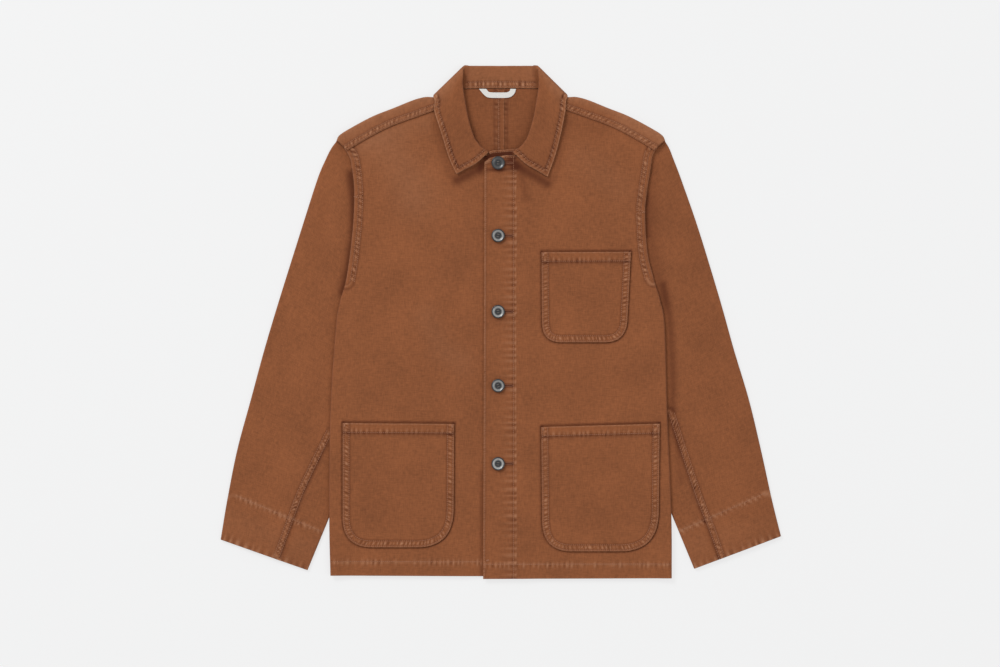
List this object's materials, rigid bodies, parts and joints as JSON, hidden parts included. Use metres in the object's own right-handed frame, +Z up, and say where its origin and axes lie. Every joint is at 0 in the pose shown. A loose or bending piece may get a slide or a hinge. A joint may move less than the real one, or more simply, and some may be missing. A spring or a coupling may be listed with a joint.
{
  "type": "chore jacket",
  "caption": "Button-front canvas chore jacket laid flat, front up, with a one-piece collar, patch pockets and one-piece sleeves.",
  "frame": {"origin": "centre of the bounding box, on the surface that the jacket lies on", "axes": "+X towards the wearer's left across both sleeves, +Y towards the collar, +Z up out of the front"},
  "size_m": [0.8412, 0.7708, 0.0142],
  "materials": {
    "canvas": "washed brown cotton canvas, matt, worn lighter at seams and edges",
    "tape": "plain off-white woven tape, bare",
    "button": "dark grey dished four-hole button, satin",
    "thread": "brown sewing thread"
  },
  "bodies": {
    "root": {"back_right": "canvas", "back_left": "canvas", "front_right": "canvas", "front_left": "canvas", "sleeve_right": "canvas", "sleeve_left": "canvas", "collar": "canvas", "pocket_chest": "canvas", "pocket_lower_right": "canvas", "pocket_lower_left": "canvas", "hanger_loop": "tape", "button_1": "button", "button_2": "button", "button_3": "button", "button_4": "button", "button_5": "button", "thread_shank_1": "thread", "thread_shank_2": "thread", "thread_shank_3": "thread", "thread_shank_4": "thread", "thread_shank_5": "thread"}
  },
  "joints": []
}
